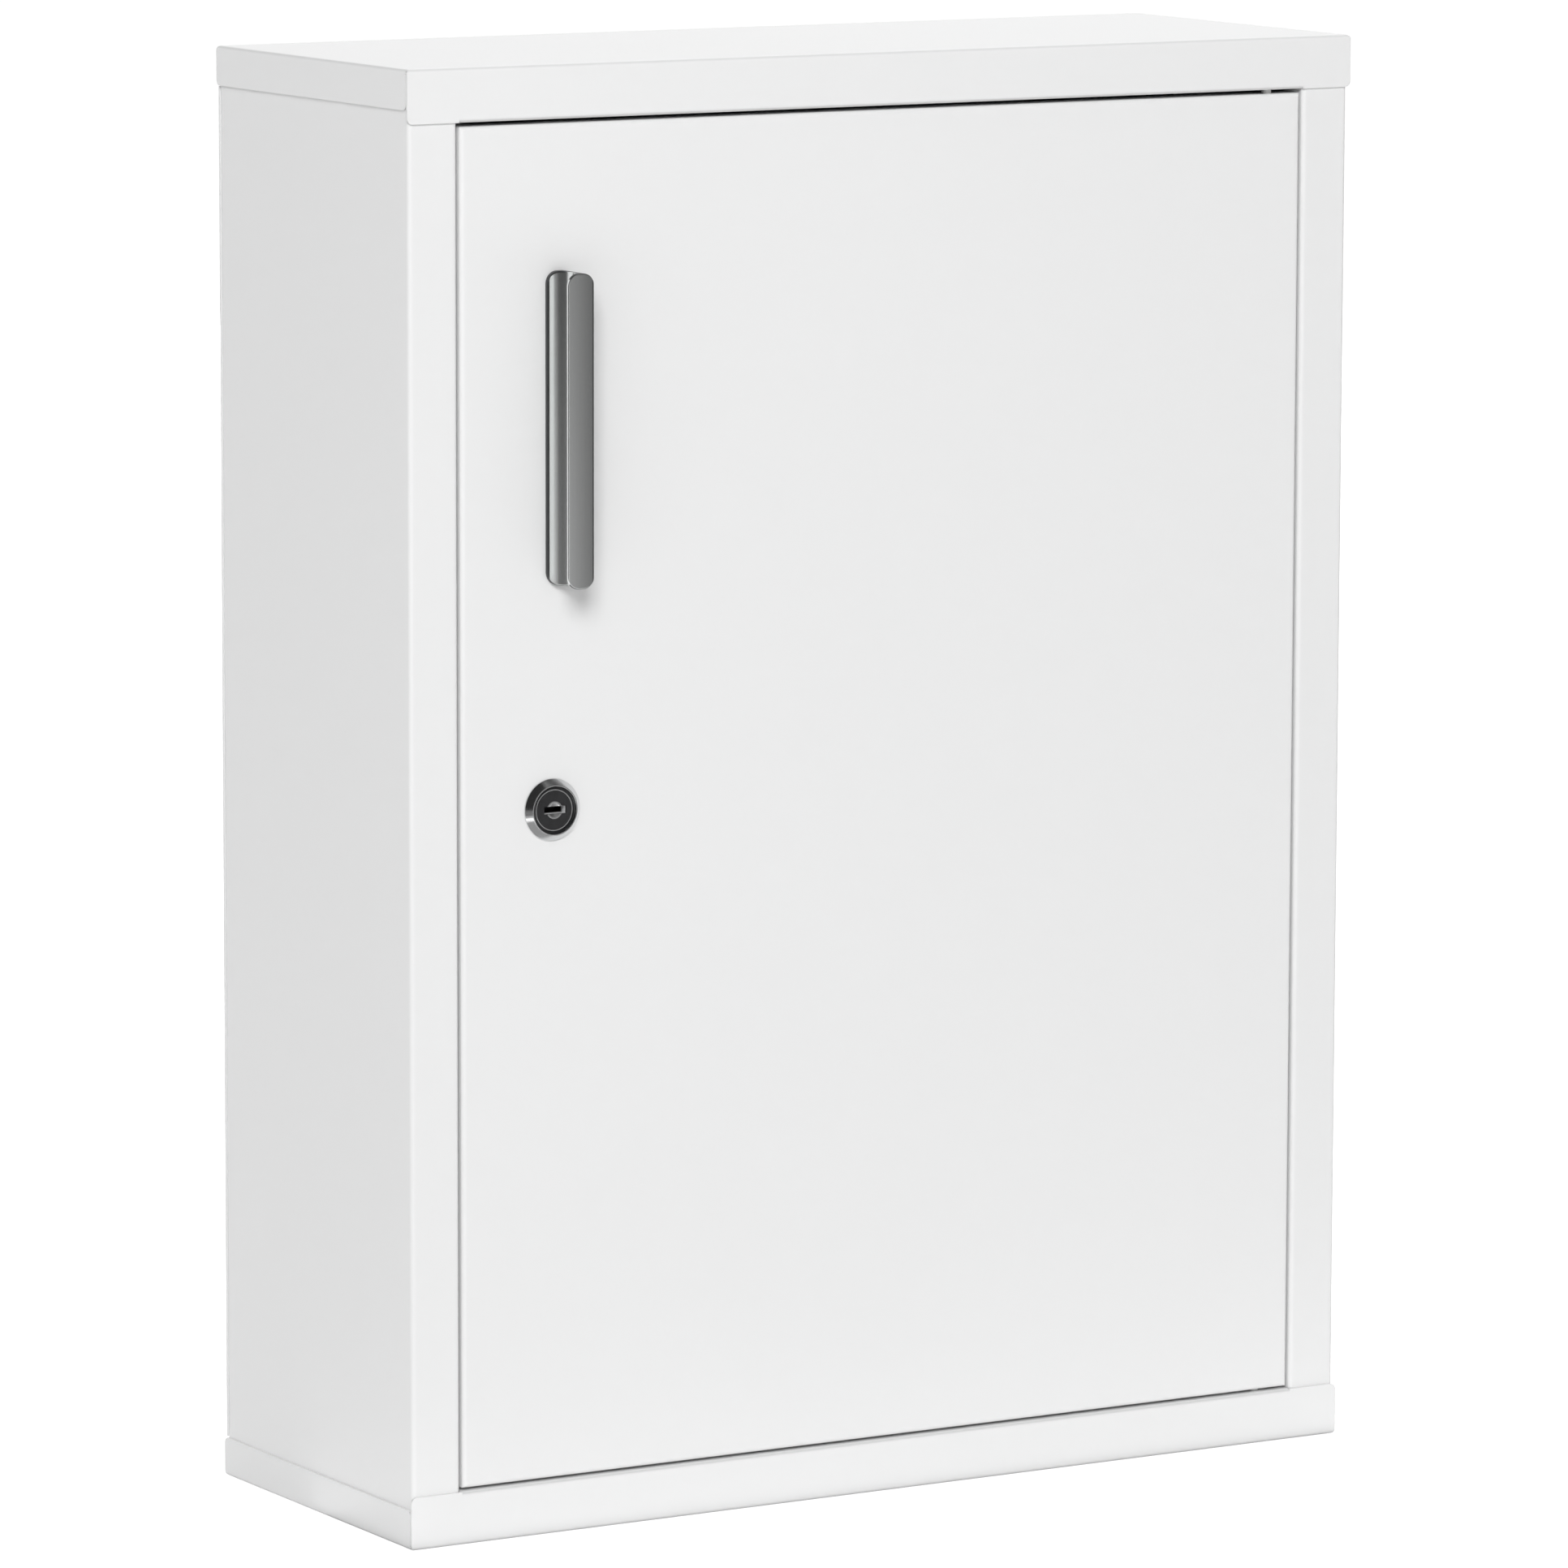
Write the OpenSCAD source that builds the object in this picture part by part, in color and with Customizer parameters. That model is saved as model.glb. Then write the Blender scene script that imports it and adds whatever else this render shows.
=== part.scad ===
// Lockable wall medicine cabinet: folded sheet carcass, inset door on pivot pins, cam lock and bar handle.
// Millimetres, +Z up. Origin at the middle of the base; the door faces -Y and the wall is on the +Y side.

/* [Cabinet] */
// Overall width
cabinet_w = 450; // [360:10:600]
// Overall height
cabinet_h = 600; // [480:10:800]
// Overall depth of the carcass, without the handle
cabinet_d = 165; // [150:5:260]
// Thickness of every steel sheet
sheet_t = 1; // [0.8:0.1:1.1]
// Inside radius of every fold
fold_r = 0.8; // [0.5:0.1:1]

/* [Frame] */
// Width of each front stile
stile_w = 23; // [20:1:34]
// Height of the front flange of the top and bottom panels
rail_h = 22; // [20:1:34]
// Height of the side and rear flanges of the top and bottom panels
skirt_h = 16.4; // [12:0.2:18]
// Depth of the top and bottom jambs behind the stile face
jamb_d = 15; // [13:1:18]
// Width of the stop behind the closing edge of the door
stop_w = 10; // [8:1:12]
// Width of the flanges that carry the back panel
back_flange_w = 18; // [12:1:25]
// Radius of the flange corners
flange_corner_r = 2.5; // [1:0.5:4]

/* [Wall holes] */
// Distance between wall holes, side to side
wall_hole_x = 350; // [200:10:380]
// Distance between wall holes, top to bottom
wall_hole_z = 450; // [200:10:500]
// Diameter of each wall hole
wall_hole_d = 7; // [5:0.5:9]

/* [Door] */
// Gap at each side of the door
door_side_gap = 1.5; // [1.2:0.1:2]
// Gap above the door
door_top_gap = 1.8; // [1.2:0.1:2.4]
// Gap under the door
door_bottom_gap = 1.2; // [1:0.1:2]
// Depth of the door's folded edges
door_edge_d = 14; // [12:0.5:14]
// Width of the door's inner lips
door_lip_w = 10; // [6:1:14]
// Thickness of the rubber buffers that the door closes on
buffer_t = 1.2; // [1:0.1:2]
// Diameter of each rubber buffer
buffer_d = 7; // [5:0.5:8]

/* [Hinge] */
// Distance of the pivot from the hinged edge of the door
pivot_in = 13.4; // [12:0.1:16]
// Distance of the pivot behind the door face
pivot_back = 5.5; // [5.5:0.1:6]
// Diameter of the pivot pins
pivot_d = 4; // [3:0.5:4]

/* [Lock] */
// Distance of the lock from the closing edge of the door
lock_in = 41.3; // [36:0.5:50]
// Height of the lock above the base
lock_z = 299; // [250:1:350]
// Diameter of the lock's front ring
bezel_d = 25.4; // [22:0.2:28]
// Diameter of the threaded lock barrel
barrel_d = 18.8; // [18:0.1:19]
// Distance across the two flats of the barrel
barrel_flats = 16.4; // [15.5:0.1:17]
// Diameter of the turning plug
plug_d = 12.4; // [12:0.1:13]
// Reach of the cam from the lock axis
cam_reach = 43; // [40:1:48]

/* [Handle] */
// Height of the handle
handle_h = 127; // [110:1:160]
// Width of the handle
handle_w = 12; // [11:0.1:16]
// Projection of the handle from the door
handle_d = 19; // [18:0.5:26]
// Height of the handle's middle above the base
handle_z = 453.9; // [440:1:480]
// Distance of the handle from the closing edge of the door
handle_in = 38.6; // [34:0.5:50]
// Radius of the handle's four corners
handle_corner_r = 5; // [3:0.5:6]
// Distance between the two handle screws
handle_pitch = 96; // [64:1:96]

/* [Shelves] */
// Height of the lower shelf's top face
lower_shelf_z = 203; // [178:25:228]
// Height of the upper shelf's top face
upper_shelf_z = 403; // [378:25:428]
// Distance of the shelf front behind the carcass front
shelf_front = 30; // [28:1:40]
// Depth of the shelf's folded edges
shelf_edge_h = 15; // [10:1:20]

/* [Hidden] */

// Cut overshoot, running fit, loose fit and seam width
over = 1;
run_fit = 0.05;
loose_fit = 0.3;
seam = 0.4;
// Space between a jamb and the stiles, and the relief hole at the end of each open seam
jamb_gap = 0.5;
relief_r = 0.6;
relief_in = 1.5;
// Distance of the outer buffers from the ends of the door
buffer_end = 40;
// Outside radius of every fold
skin_r = fold_r + sheet_t;

// The carcass front, back and sides
front_y = -cabinet_d / 2;
back_y = cabinet_d / 2;
side_x = cabinet_w / 2;

// The door opening and the door
door_left = -side_x + stile_w + door_side_gap;
door_right = side_x - stile_w - door_side_gap;
door_low = rail_h + door_bottom_gap;
door_high = cabinet_h - rail_h - door_top_gap;
door_w = door_right - door_left;
door_h = door_high - door_low;
door_front = front_y + sheet_t;
door_back = door_front + door_edge_d;
stop_front = door_back + buffer_t;
stop_back = stop_front + sheet_t;
jamb_back = door_front + jamb_d;

// The pivots
pivot_x = door_right - pivot_in;
pivot_y = door_front + pivot_back;
pin_r = pivot_d / 2;
pin_head_over = 1.5;
pin_head_r = pin_r + pin_head_over;
pin_head_t = 1.5;
pin_reach = 6;
hinge_plate = [26, 10, 2];
bush_wall = 1.2;
bush_r = pin_r + bush_wall;
bush_flange_over = 0.9;
fold_clear = 0.1;
bush_flange_r = min(bush_r + bush_flange_over, pivot_back - skin_r - fold_clear);
bush_flange_t = 1.2;
bush_end_t = 2;

// The lock
lock_x = door_left + lock_in;
bezel_r = bezel_d / 2;
bezel_slope = 2.4;
bezel_land = 0.5;
bezel_edge_t = 0.6;
bezel_t = 3;
bezel_front_r = bezel_r - bezel_slope;
bezel_mouth_r = bezel_front_r - bezel_land;
mouth_floor_t = 0.4;
ring_w = 1.2;
ring_t = 1.2;
plug_head_r = bezel_mouth_r - ring_w - 2 * run_fit;
plug_head_t = 2.1;
plug_rim_w = 0.5;
cap_r = plug_head_r - plug_rim_w;
cap_t = 0.7;
cap_proud = 0.1;
core_r = 3.6;
core_proud = 0.2;
core_rim_w = 0.7;
core_dish = 0.8;
keyway = [10.2, 3.1];
keyway_off = 0.4;
keyway_depth = 9;
barrel_r = barrel_d / 2;
barrel_lap = 1;
barrel_short = 0.4;
plug_r = plug_d / 2;
nut_r = 13;
nut_t = 3.5;
cam_clear = 0.8;
cam_front = stop_back + cam_clear;
cam_t = 2;
cam_w = 16;
drive_w = 8;
drive_short = 0.1;
washer_r = 7;
washer_t = 1;
cam_screw_r = 2.5;
cam_screw_head_r = 4.5;
cam_screw_head_t = 2.8;
cam_screw_grip = 7;
cam_screw_recess = [5.4, 1.2, 1.4];

// The handle
handle_left = door_left + handle_in;
handle_front = door_front - handle_d;
base_lip = 2.4;
front_lip = 1.6;
base_lip_r = 0.9;
front_lip_r = 0.7;
handle_edge_r = 0.5;
scoop_r = (handle_d - base_lip - front_lip) / 2;
scoop_y = handle_front + front_lip + scoop_r;
screw_r = 2;
screw_bite = 3.5;
screw_head_r = 3.6;
screw_head_t = 2.4;
screw_recess = [4.4, 1, 1.2];
screw_from_right = 4.4;
screw_in_x = handle_left + handle_w - screw_from_right;

// The shelves, their strips and clips
strip_w = 14;
strip_d = 5;
strip_end = 30;
strip_low = strip_end;
strip_high = cabinet_h - strip_end;
strip_in_front = 50;
strip_in_back = 25;
strip_front_y = front_y + strip_in_front;
strip_rear_y = back_y - strip_in_back;
inner_x = side_x - 2 * sheet_t;
strip_face_x = inner_x - strip_d;
slot_pitch = 25;
slot_w = 8;
slot_h = 2.4;
clip_w = 7;
clip_t = 2;
clip_reach = 12;
clip_leg = 8;
clip_leg_t = 1.5;
hook_in = 2;
hook_t = 1.2;
hook_h = 4;
shelf_gap = 1;
shelf_side_x = strip_face_x - shelf_gap;
shelf_front_y = front_y + shelf_front;
shelf_back = 4;
shelf_back_y = back_y - shelf_back;
shelf_lip = 6;
slots_below = 5;
slot_first_z = lower_shelf_z - sheet_t - clip_t - slots_below * slot_pitch;
slot_count = floor((strip_high - slot_first_z) / slot_pitch);

white = [0.93, 0.94, 0.93];
steel = [0.72, 0.73, 0.74];
chrome = [0.85, 0.86, 0.87];
grey_metal = [0.62, 0.63, 0.64];
black = [0.05, 0.05, 0.055];
nylon = [0.95, 0.95, 0.93];

// Quarter of a fold: its centre at the origin, its sheet in the first quadrant
module fold() {
    intersection() {
        difference() {
            circle(r = skin_r, $fn = 64);
            circle(r = fold_r, $fn = 64);
        }
        square(skin_r);
    }
}

// Rectangle from [x0, y0] to [x1, y1] in the plane
module patch(x0, y0, x1, y1) {
    translate([x0, y0])
        square([x1 - x0, y1 - y0]);
}

// Rectangle with the two corners on its low-y side rounded
module soft_patch(x0, y0, x1, y1, r) {
    patch(x0, y0 + r, x1, y1);
    patch(x0 + r, y0, x1 - r, y0 + r);
    for (x = [x0 + r, x1 - r])
        translate([x, y0 + r])
            circle(r = r, $fn = 64);
}

// Box from one corner to the other
module block(low, high) {
    translate(low)
        cube(high - low);
}

// Cylinder along +Y from y0 to y1
module rod_y(x, z, r, y0, y1) {
    translate([x, y0, z])
        rotate([-90, 0, 0])
            cylinder(r = r, h = y1 - y0, $fn = 64);
}

// Cylinder along +X from x0 to x1
module rod_x(y, z, r, x0, x1) {
    translate([x0, y, z])
        rotate([0, 90, 0])
            cylinder(r = r, h = x1 - x0, $fn = 64);
}

// The waste outside a rounded corner of a plate that faces Y; sx and sz point out of the plate
module corner_waste_y(x, z, r, sx, sz, y0, y1) {
    difference() {
        block([min(x - sx * r, x + sx * over), y0, min(z - sz * r, z + sz * over)],
            [max(x - sx * r, x + sx * over), y1, max(z - sz * r, z + sz * over)]);
        rod_y(x - sx * r, z - sz * r, r, y0 - over, y1 + over);
    }
}

// The same for the upper corner of a plate that faces X; clear is the free space past its end
module corner_waste_x(y, z, r, sy, clear, x0, x1) {
    difference() {
        block([x0, min(y - sy * r, y + sy * clear), z - r], [x1, max(y - sy * r, y + sy * clear), z + over]);
        rod_x(y - sy * r, z - r, r, x0 - over, x1 + over);
    }
}

// Solid tray blank whose plate is at z = 0 and whose flanges reach up to z = rail_h
module tray_blank(inset, r) {
    intersection() {
        rotate([90, 0, 90])
            translate([0, 0, -side_x - over])
                linear_extrude(cabinet_w + 2 * over)
                    soft_patch(front_y + inset, inset, back_y - inset, rail_h + inset, r);
        rotate([90, 0, 0])
            translate([0, 0, -back_y - over])
                linear_extrude(cabinet_d + 2 * over)
                    soft_patch(-side_x + inset, inset, side_x - inset, rail_h + inset, r);
    }
}

// Bottom tray: plate, front rail with its jamb, side and rear skirts, open seams at the corners
module tray() {
    jamb_x = side_x - stile_w - jamb_gap;
    difference() {
        tray_blank(0, skin_r);
        tray_blank(sheet_t, fold_r);
        // The skirts are lower than the rail
        block([-side_x - over, door_front + seam, skirt_h], [side_x + over, back_y + over, rail_h + over]);
        for (s = [-1, 1]) {
            x0 = s > 0 ? side_x - 2 * sheet_t : -side_x - over;
            x1 = s > 0 ? side_x + over : -side_x + 2 * sheet_t;
            // Open seam between the rail and the skirt
            block([x0, door_front, skin_r], [x1, door_front + seam, rail_h + over]);
            rod_x(door_front + seam / 2, relief_in, relief_r, x0, x1);
            corner_waste_y(s * side_x, rail_h, flange_corner_r, s, 1, front_y - over, door_front + seam / 2);
            corner_waste_x(door_front + seam, skirt_h, flange_corner_r, -1, seam / 2, x0, x1);
            corner_waste_x(back_y, skirt_h, flange_corner_r, 1, over, x0, x1);
        }
        // The rail's top edge gives way to the fold of the jamb
        block([-jamb_x, front_y - over, rail_h - skin_r], [jamb_x, door_front + seam, rail_h + over]);
    }
    rotate([90, 0, 90])
        translate([0, 0, -jamb_x])
            difference() {
                linear_extrude(2 * jamb_x) {
                    translate([front_y + skin_r, rail_h - skin_r])
                        mirror([1, 0])
                            fold();
                    patch(front_y + skin_r, rail_h - sheet_t, jamb_back, rail_h);
                }
                translate([pivot_y, 0, jamb_x + pivot_x])
                    rotate([-90, 0, 0])
                        cylinder(r = pin_r + run_fit, h = rail_h + over, $fn = 64);
            }
}

module bottom_panel() {
    color(white)
        tray();
}

module top_panel() {
    color(white)
        translate([0, 0, cabinet_h])
            mirror([0, 0, 1])
                tray();
}

// Plan of a side panel, drawn for the left side from its outer face
module side_plan(with_stop) {
    x0 = -side_x + sheet_t;
    stile_x = -side_x + stile_w;
    return_back = with_stop ? stop_back - skin_r : jamb_back;
    y0 = door_front;
    y1 = back_y - sheet_t;
    patch(x0, y0 + skin_r, x0 + sheet_t, y1 - skin_r);
    translate([x0 + skin_r, y0 + skin_r])
        rotate(180)
            fold();
    patch(x0 + skin_r, y0, stile_x - skin_r, y0 + sheet_t);
    translate([stile_x - skin_r, y0 + skin_r])
        rotate(-90)
            fold();
    patch(stile_x - sheet_t, y0 + skin_r, stile_x, return_back);
    translate([x0 + skin_r, y1 - skin_r])
        rotate(90)
            fold();
    patch(x0 + skin_r, y1 - sheet_t, x0 + back_flange_w, y1);
    if (with_stop) {
        translate([stile_x - sheet_t + skin_r, stop_back - skin_r])
            rotate(90)
                fold();
        patch(stile_x - sheet_t + skin_r, stop_front, stile_x + stop_w, stop_back);
    }
}

module left_side_panel() {
    color(white)
        translate([0, 0, skin_r + loose_fit])
            linear_extrude(cabinet_h - 2 * skin_r - 2 * loose_fit)
                side_plan(true);
}

module right_side_panel() {
    color(white)
        translate([0, 0, skin_r + loose_fit])
            linear_extrude(cabinet_h - 2 * skin_r - 2 * loose_fit)
                mirror([1, 0])
                    side_plan(false);
}

module back_panel() {
    color(white)
        difference() {
            block([-side_x + sheet_t, back_y - sheet_t, skirt_h + seam],
                [side_x - sheet_t, back_y, cabinet_h - skirt_h - seam]);
            for (sx = [-1, 1], sz = [-1, 1])
                rod_y(sx * wall_hole_x / 2, cabinet_h / 2 + sz * wall_hole_z / 2, wall_hole_d / 2,
                    back_y - sheet_t - over, back_y + over);
        }
}

// Slotted channel on the left side panel, centred on y
module strip(y) {
    difference() {
        block([-inner_x, y - strip_w / 2, strip_low], [-strip_face_x, y + strip_w / 2, strip_high]);
        block([-inner_x - over, y - strip_w / 2 + sheet_t, strip_low - over],
            [-strip_face_x - sheet_t, y + strip_w / 2 - sheet_t, strip_high + over]);
        for (i = [0:slot_count - 1])
            block([-strip_face_x - 2 * sheet_t, y - slot_w / 2, slot_first_z + i * slot_pitch],
                [-strip_face_x + over, y + slot_w / 2, slot_first_z + i * slot_pitch + slot_h]);
    }
}

module left_front_strip() {
    color(steel)
        strip(strip_front_y);
}

module left_rear_strip() {
    color(steel)
        strip(strip_rear_y);
}

module right_front_strip() {
    color(steel)
        mirror([1, 0, 0])
            strip(strip_front_y);
}

module right_rear_strip() {
    color(steel)
        mirror([1, 0, 0])
            strip(strip_rear_y);
}

// Clip hooked into a slot of the left strip, its seat at height z
module clip(y, z) {
    hook_x = -strip_face_x - sheet_t - hook_in;
    block([hook_x, y - clip_w / 2, z - clip_t], [-strip_face_x + clip_reach, y + clip_w / 2, z]);
    block([hook_x, y - clip_w / 2, z - clip_t - hook_h], [hook_x + hook_t, y + clip_w / 2, z - clip_t]);
    block([-strip_face_x, y - clip_w / 2, z - clip_leg],
        [-strip_face_x + clip_leg_t, y + clip_w / 2, z - clip_t]);
}

module shelf_clips() {
    color(steel)
        for (z = [lower_shelf_z, upper_shelf_z], y = [strip_front_y, strip_rear_y], s = [0, 1])
            mirror([s, 0, 0])
                clip(y, z - sheet_t);
}

// Shelf tray with a folded and returned front edge and a folded rear edge; z is its top face
module shelf(z) {
    translate([-shelf_side_x, 0, z])
        rotate([90, 0, 90])
            linear_extrude(2 * shelf_side_x) {
                patch(shelf_front_y + skin_r, -sheet_t, shelf_back_y - skin_r, 0);
                translate([shelf_front_y + skin_r, -skin_r])
                    rotate(90)
                        fold();
                translate([shelf_back_y - skin_r, -skin_r])
                    fold();
                patch(shelf_front_y, skin_r - shelf_edge_h, shelf_front_y + sheet_t, -skin_r);
                patch(shelf_back_y - sheet_t, -shelf_edge_h, shelf_back_y, -skin_r);
                translate([shelf_front_y + skin_r, skin_r - shelf_edge_h])
                    rotate(180)
                        fold();
                patch(shelf_front_y + skin_r, -shelf_edge_h, shelf_front_y + skin_r + shelf_lip,
                    sheet_t - shelf_edge_h);
            }
}

module lower_shelf() {
    color(white)
        shelf(lower_shelf_z);
}

module upper_shelf() {
    color(white)
        shelf(upper_shelf_z);
}

// Stiffening plate under the bottom jamb, bored for the pivot pin
module pivot_plate() {
    difference() {
        translate([pivot_x - hinge_plate[0] / 2, door_front + sheet_t + loose_fit,
            rail_h - sheet_t - hinge_plate[2]])
            cube(hinge_plate);
        translate([pivot_x, pivot_y, 0])
            cylinder(r = pin_r + run_fit, h = rail_h, $fn = 64);
    }
}

// Headed pivot pin that stands up through the plate, the jamb and the door's edge
module pivot_pin(door_edge_z) {
    head_z = rail_h - sheet_t - hinge_plate[2] - pin_head_t;
    translate([pivot_x, pivot_y, head_z]) {
        cylinder(r = pin_head_r, h = pin_head_t, $fn = 64);
        cylinder(r = pin_r, h = door_edge_z + sheet_t + pin_reach - head_z, $fn = 64);
    }
}

// Blind nylon bush seated in the door's folded edge
module pivot_bush(door_edge_z) {
    tip = sheet_t + pin_reach;
    translate([pivot_x, pivot_y, door_edge_z])
        difference() {
            union() {
                cylinder(r = bush_r, h = tip + bush_end_t, $fn = 64);
                translate([0, 0, sheet_t])
                    cylinder(r = bush_flange_r, h = bush_flange_t, $fn = 64);
            }
            translate([0, 0, -over])
                cylinder(r = pin_r + run_fit, h = tip + over, $fn = 64);
        }
}

module upside_down() {
    translate([0, 0, cabinet_h])
        mirror([0, 0, 1])
            children();
}

module lower_hinge_plate() {
    color(steel)
        pivot_plate();
}

module upper_hinge_plate() {
    color(steel)
        upside_down()
            pivot_plate();
}

module lower_hinge_pin() {
    color(chrome)
        pivot_pin(door_low);
}

module upper_hinge_pin() {
    color(chrome)
        upside_down()
            pivot_pin(cabinet_h - door_high);
}

module lower_hinge_bush() {
    color(nylon)
        pivot_bush(door_low);
}

module upper_hinge_bush() {
    color(nylon)
        upside_down()
            pivot_bush(cabinet_h - door_high);
}

module door_buffers() {
    color(black)
        for (z = [door_low + buffer_end, door_low + door_h / 4,
            door_high - door_h / 4, door_high - buffer_end])
            rod_y(door_left + sheet_t + buffer_d / 2, z, buffer_d / 2, door_back, stop_front);
}

// Solid door blank with softly folded front edges
module door_blank(inset, r, back) {
    intersection() {
        translate([0, 0, door_low - over])
            linear_extrude(door_h + 2 * over)
                soft_patch(door_left + inset, door_front + inset, door_right - inset, back, r);
        translate([door_left - over, 0, 0])
            rotate([90, 0, 90])
                linear_extrude(door_w + 2 * over)
                    mirror([1, -1])
                        soft_patch(door_low + inset, door_front + inset, door_high - inset, back, r);
    }
}

// Round hole with two flats that holds the lock barrel
module barrel_hole(grow, y0, y1) {
    intersection() {
        rod_y(lock_x, lock_z, barrel_r + grow, y0, y1);
        block([lock_x - barrel_r - over, y0 - over, lock_z - barrel_flats / 2 - grow],
            [lock_x + barrel_r + over, y1 + over, lock_z + barrel_flats / 2 + grow]);
    }
}

module door_panel() {
    color(white)
        difference() {
            door_blank(0, skin_r, door_back);
            door_blank(sheet_t, fold_r, door_back - sheet_t);
            block([door_left + door_lip_w, door_back - 2 * sheet_t, door_low + door_lip_w],
                [door_right - door_lip_w, door_back + over, door_high - door_lip_w]);
            barrel_hole(run_fit, door_front - over, door_front + 2 * sheet_t);
            for (s = [-1, 1])
                rod_y(screw_in_x, handle_z + s * handle_pitch / 2, screw_r + loose_fit / 2,
                    door_front - over, door_front + 2 * sheet_t);
            translate([pivot_x, pivot_y, door_low - over])
                cylinder(r = bush_r + run_fit, h = over + 2 * sheet_t, $fn = 64);
            translate([pivot_x, pivot_y, door_high - 2 * sheet_t])
                cylinder(r = bush_r + run_fit, h = over + 2 * sheet_t, $fn = 64);
        }
}

// The waste outside the rounding of a lip where the scoop meets the handle's left face; sy points to the lip
module lip_waste(r, sy) {
    reach = scoop_r + r;
    rise = sqrt(reach * reach - r * r);
    tangent_x = handle_left + r * scoop_r / reach;
    y0 = scoop_y + sy * rise;
    y1 = scoop_y + sy * (scoop_r - over);
    difference() {
        patch(handle_left - over, min(y0, y1), tangent_x, max(y0, y1));
        translate([handle_left + r, y0])
            circle(r = r, $fn = 64);
    }
}

// The waste outside a rounded front corner of the handle's section; sx points out of the section
module edge_waste(x, r, sx) {
    difference() {
        patch(min(x - sx * r, x + sx * over), handle_front - over,
            max(x - sx * r, x + sx * over), handle_front + r);
        translate([x - sx * r, handle_front + r])
            circle(r = r, $fn = 64);
    }
}

// Extruded finger pull: a bar with a round scoop along its closing side, rounded lips and rounded ends
module handle() {
    x1 = handle_left + handle_w;
    z0 = handle_z - handle_h / 2;
    z1 = handle_z + handle_h / 2;
    color(grey_metal)
        difference() {
            translate([0, 0, z0])
                linear_extrude(handle_h)
                    difference() {
                        patch(handle_left, handle_front, x1, door_front);
                        translate([handle_left, scoop_y])
                            circle(r = scoop_r, $fn = 96);
                        lip_waste(base_lip_r, 1);
                        lip_waste(front_lip_r, -1);
                        edge_waste(handle_left, front_lip_r, -1);
                        edge_waste(x1, handle_edge_r, 1);
                    }
            for (sx = [-1, 1], sz = [-1, 1])
                corner_waste_y(sx < 0 ? handle_left : x1, sz < 0 ? z0 : z1, handle_corner_r, sx, sz,
                    handle_front - over, door_front + over);
            for (s = [-1, 1])
                rod_y(screw_in_x, handle_z + s * handle_pitch / 2, screw_r + run_fit,
                    door_front - screw_bite - loose_fit, door_front + over);
        }
}

// Cross recess of [length, width, depth] at the origin, open towards +Y
module cross_recess(size) {
    cube([size[0], 2 * size[2], size[1]], center = true);
    cube([size[1], 2 * size[2], size[0]], center = true);
}

// Two pan-head screws driven from inside the door
module handle_screws() {
    inner = door_front + sheet_t;
    color(steel)
        for (z = [handle_z - handle_pitch / 2, handle_z + handle_pitch / 2])
            difference() {
                union() {
                    rod_y(screw_in_x, z, screw_r, door_front - screw_bite, inner);
                    rod_y(screw_in_x, z, screw_head_r, inner, inner + screw_head_t);
                }
                translate([screw_in_x, inner + screw_head_t, z])
                    cross_recess(screw_recess);
            }
}

// A turned lock piece: its profile is drawn as [radius, distance in front of the door]
module turned() {
    translate([lock_x, door_front, lock_z])
        rotate([90, 0, 0])
            rotate_extrude($fn = 96)
                children();
}

module lock_housing() {
    barrel_end = stop_back - barrel_short;
    color(chrome)
        difference() {
            union() {
                turned()
                    polygon([[plug_r + barrel_lap, 0], [bezel_r, 0], [bezel_r, bezel_edge_t],
                        [bezel_front_r, bezel_t], [bezel_mouth_r, bezel_t],
                        [bezel_mouth_r, mouth_floor_t], [plug_r + barrel_lap, mouth_floor_t]]);
                barrel_hole(0, door_front, barrel_end);
            }
            rod_y(lock_x, lock_z, plug_r + run_fit, door_front - over, barrel_end + over);
        }
}

// Black seal ring in the mouth of the housing
module lock_ring() {
    color(black)
        turned()
            patch(plug_head_r + run_fit, mouth_floor_t, bezel_mouth_r - run_fit, ring_t);
}

// Thin hexagonal nut that clamps the housing to the door
module lock_nut() {
    nut_y = door_front + sheet_t;
    color(steel)
        difference() {
            translate([lock_x, nut_y, lock_z])
                rotate([-90, 0, 0])
                    cylinder(r = nut_r, h = nut_t, $fn = 6);
            rod_y(lock_x, lock_z, barrel_r + run_fit, nut_y - over, nut_y + nut_t + over);
        }
}

// The slot for the key, from in front of the plug back to y1
module key_slot(y1) {
    block([lock_x + keyway_off - keyway[0] / 2, door_front - plug_head_t - over, lock_z - keyway[1] / 2],
        [lock_x + keyway_off + keyway[0] / 2, y1, lock_z + keyway[1] / 2]);
}

module lock_plug() {
    head_back = mouth_floor_t + run_fit;
    core_t = plug_head_t + core_proud;
    y1 = cam_front;
    color(chrome)
        difference() {
            union() {
                turned()
                    polygon([[0, head_back], [plug_head_r, head_back], [plug_head_r, plug_head_t],
                        [cap_r + run_fit, plug_head_t], [cap_r + run_fit, plug_head_t - cap_t],
                        [core_r, plug_head_t - cap_t], [core_r, core_t], [core_r - core_rim_w, core_t],
                        [0, core_t - core_dish]]);
                rod_y(lock_x, lock_z, plug_r, door_front - head_back, y1);
                block([lock_x - drive_w / 2, y1 - over, lock_z - drive_w / 2],
                    [lock_x + drive_w / 2, y1 + cam_t - drive_short, lock_z + drive_w / 2]);
            }
            key_slot(door_front - plug_head_t + keyway_depth);
            rod_y(lock_x, lock_z, cam_screw_r + run_fit,
                y1 + cam_t - cam_screw_grip - loose_fit, y1 + cam_t + over);
        }
}

// Black disc inlaid in the plug's face, slotted for the key
module plug_cap() {
    color(black)
        difference() {
            turned()
                patch(core_r + run_fit, plug_head_t - cap_t, cap_r, plug_head_t + cap_proud);
            key_slot(door_front);
        }
}

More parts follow.
